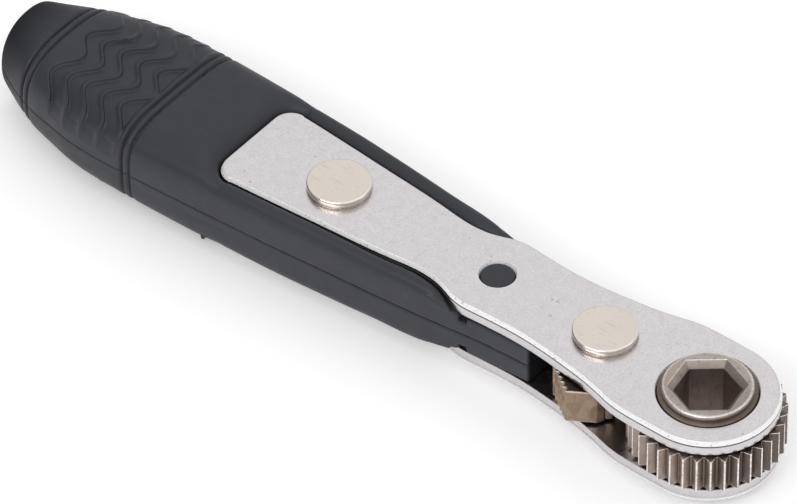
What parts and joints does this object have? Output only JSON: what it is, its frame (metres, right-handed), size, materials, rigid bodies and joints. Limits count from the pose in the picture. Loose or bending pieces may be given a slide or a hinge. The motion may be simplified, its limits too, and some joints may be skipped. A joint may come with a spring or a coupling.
{
  "type": "ratchet bit wrench",
  "caption": "Two-plate ratchet wrench for hexagon bits, with a reversing pawl in the head and a moulded black handle riveted between the plates",
  "frame": {"origin": "on the axis of the hexagon socket, half way between the two side plates", "axes": "+Z along the socket's axis, towards the upper plate; +X away from the handle, along the wrench; Y across it"},
  "size_m": [0.1048, 0.0194, 0.0118],
  "materials": {
    "handle_plastic": "satin",
    "plate_steel": "satin",
    "mechanism_steel": "satin",
    "rivet_nickel": "satin",
    "detent_steel": "polished"
  },
  "bodies": {
    "body": {"handle_upper_shell": "handle_plastic", "handle_lower_shell": "handle_plastic", "top_side_plate": "plate_steel", "bottom_side_plate": "plate_steel", "pivot_rivet_tube": "rivet_nickel", "pivot_rivet_pin": "rivet_nickel", "rear_rivet_tube": "rivet_nickel", "rear_rivet_pin": "rivet_nickel", "detent_spring": "detent_steel"},
    "gear": {"ratchet_gear": "mechanism_steel"},
    "pawl": {"reversing_pawl": "mechanism_steel"},
    "ball": {"detent_ball": "detent_steel"}
  },
  "joints": [
    {"name": "gear_spin", "type": "hinge", "parent": "body", "child": "gear", "pos_m": [0, 0, 0], "axis": [0, 0, 1], "continuous": true},
    {"name": "pawl_swing", "type": "hinge", "parent": "body", "child": "pawl", "pos_m": [-0.0139, 0, 0], "axis": [0, 0, 1], "range_deg": [0, 24]},
    {"name": "ball_press", "type": "slide", "parent": "body", "child": "ball", "axis": [1, 0, 0], "range_m": [-0.0005, 0], "stiffness_N_per_m": 1500}
  ]
}
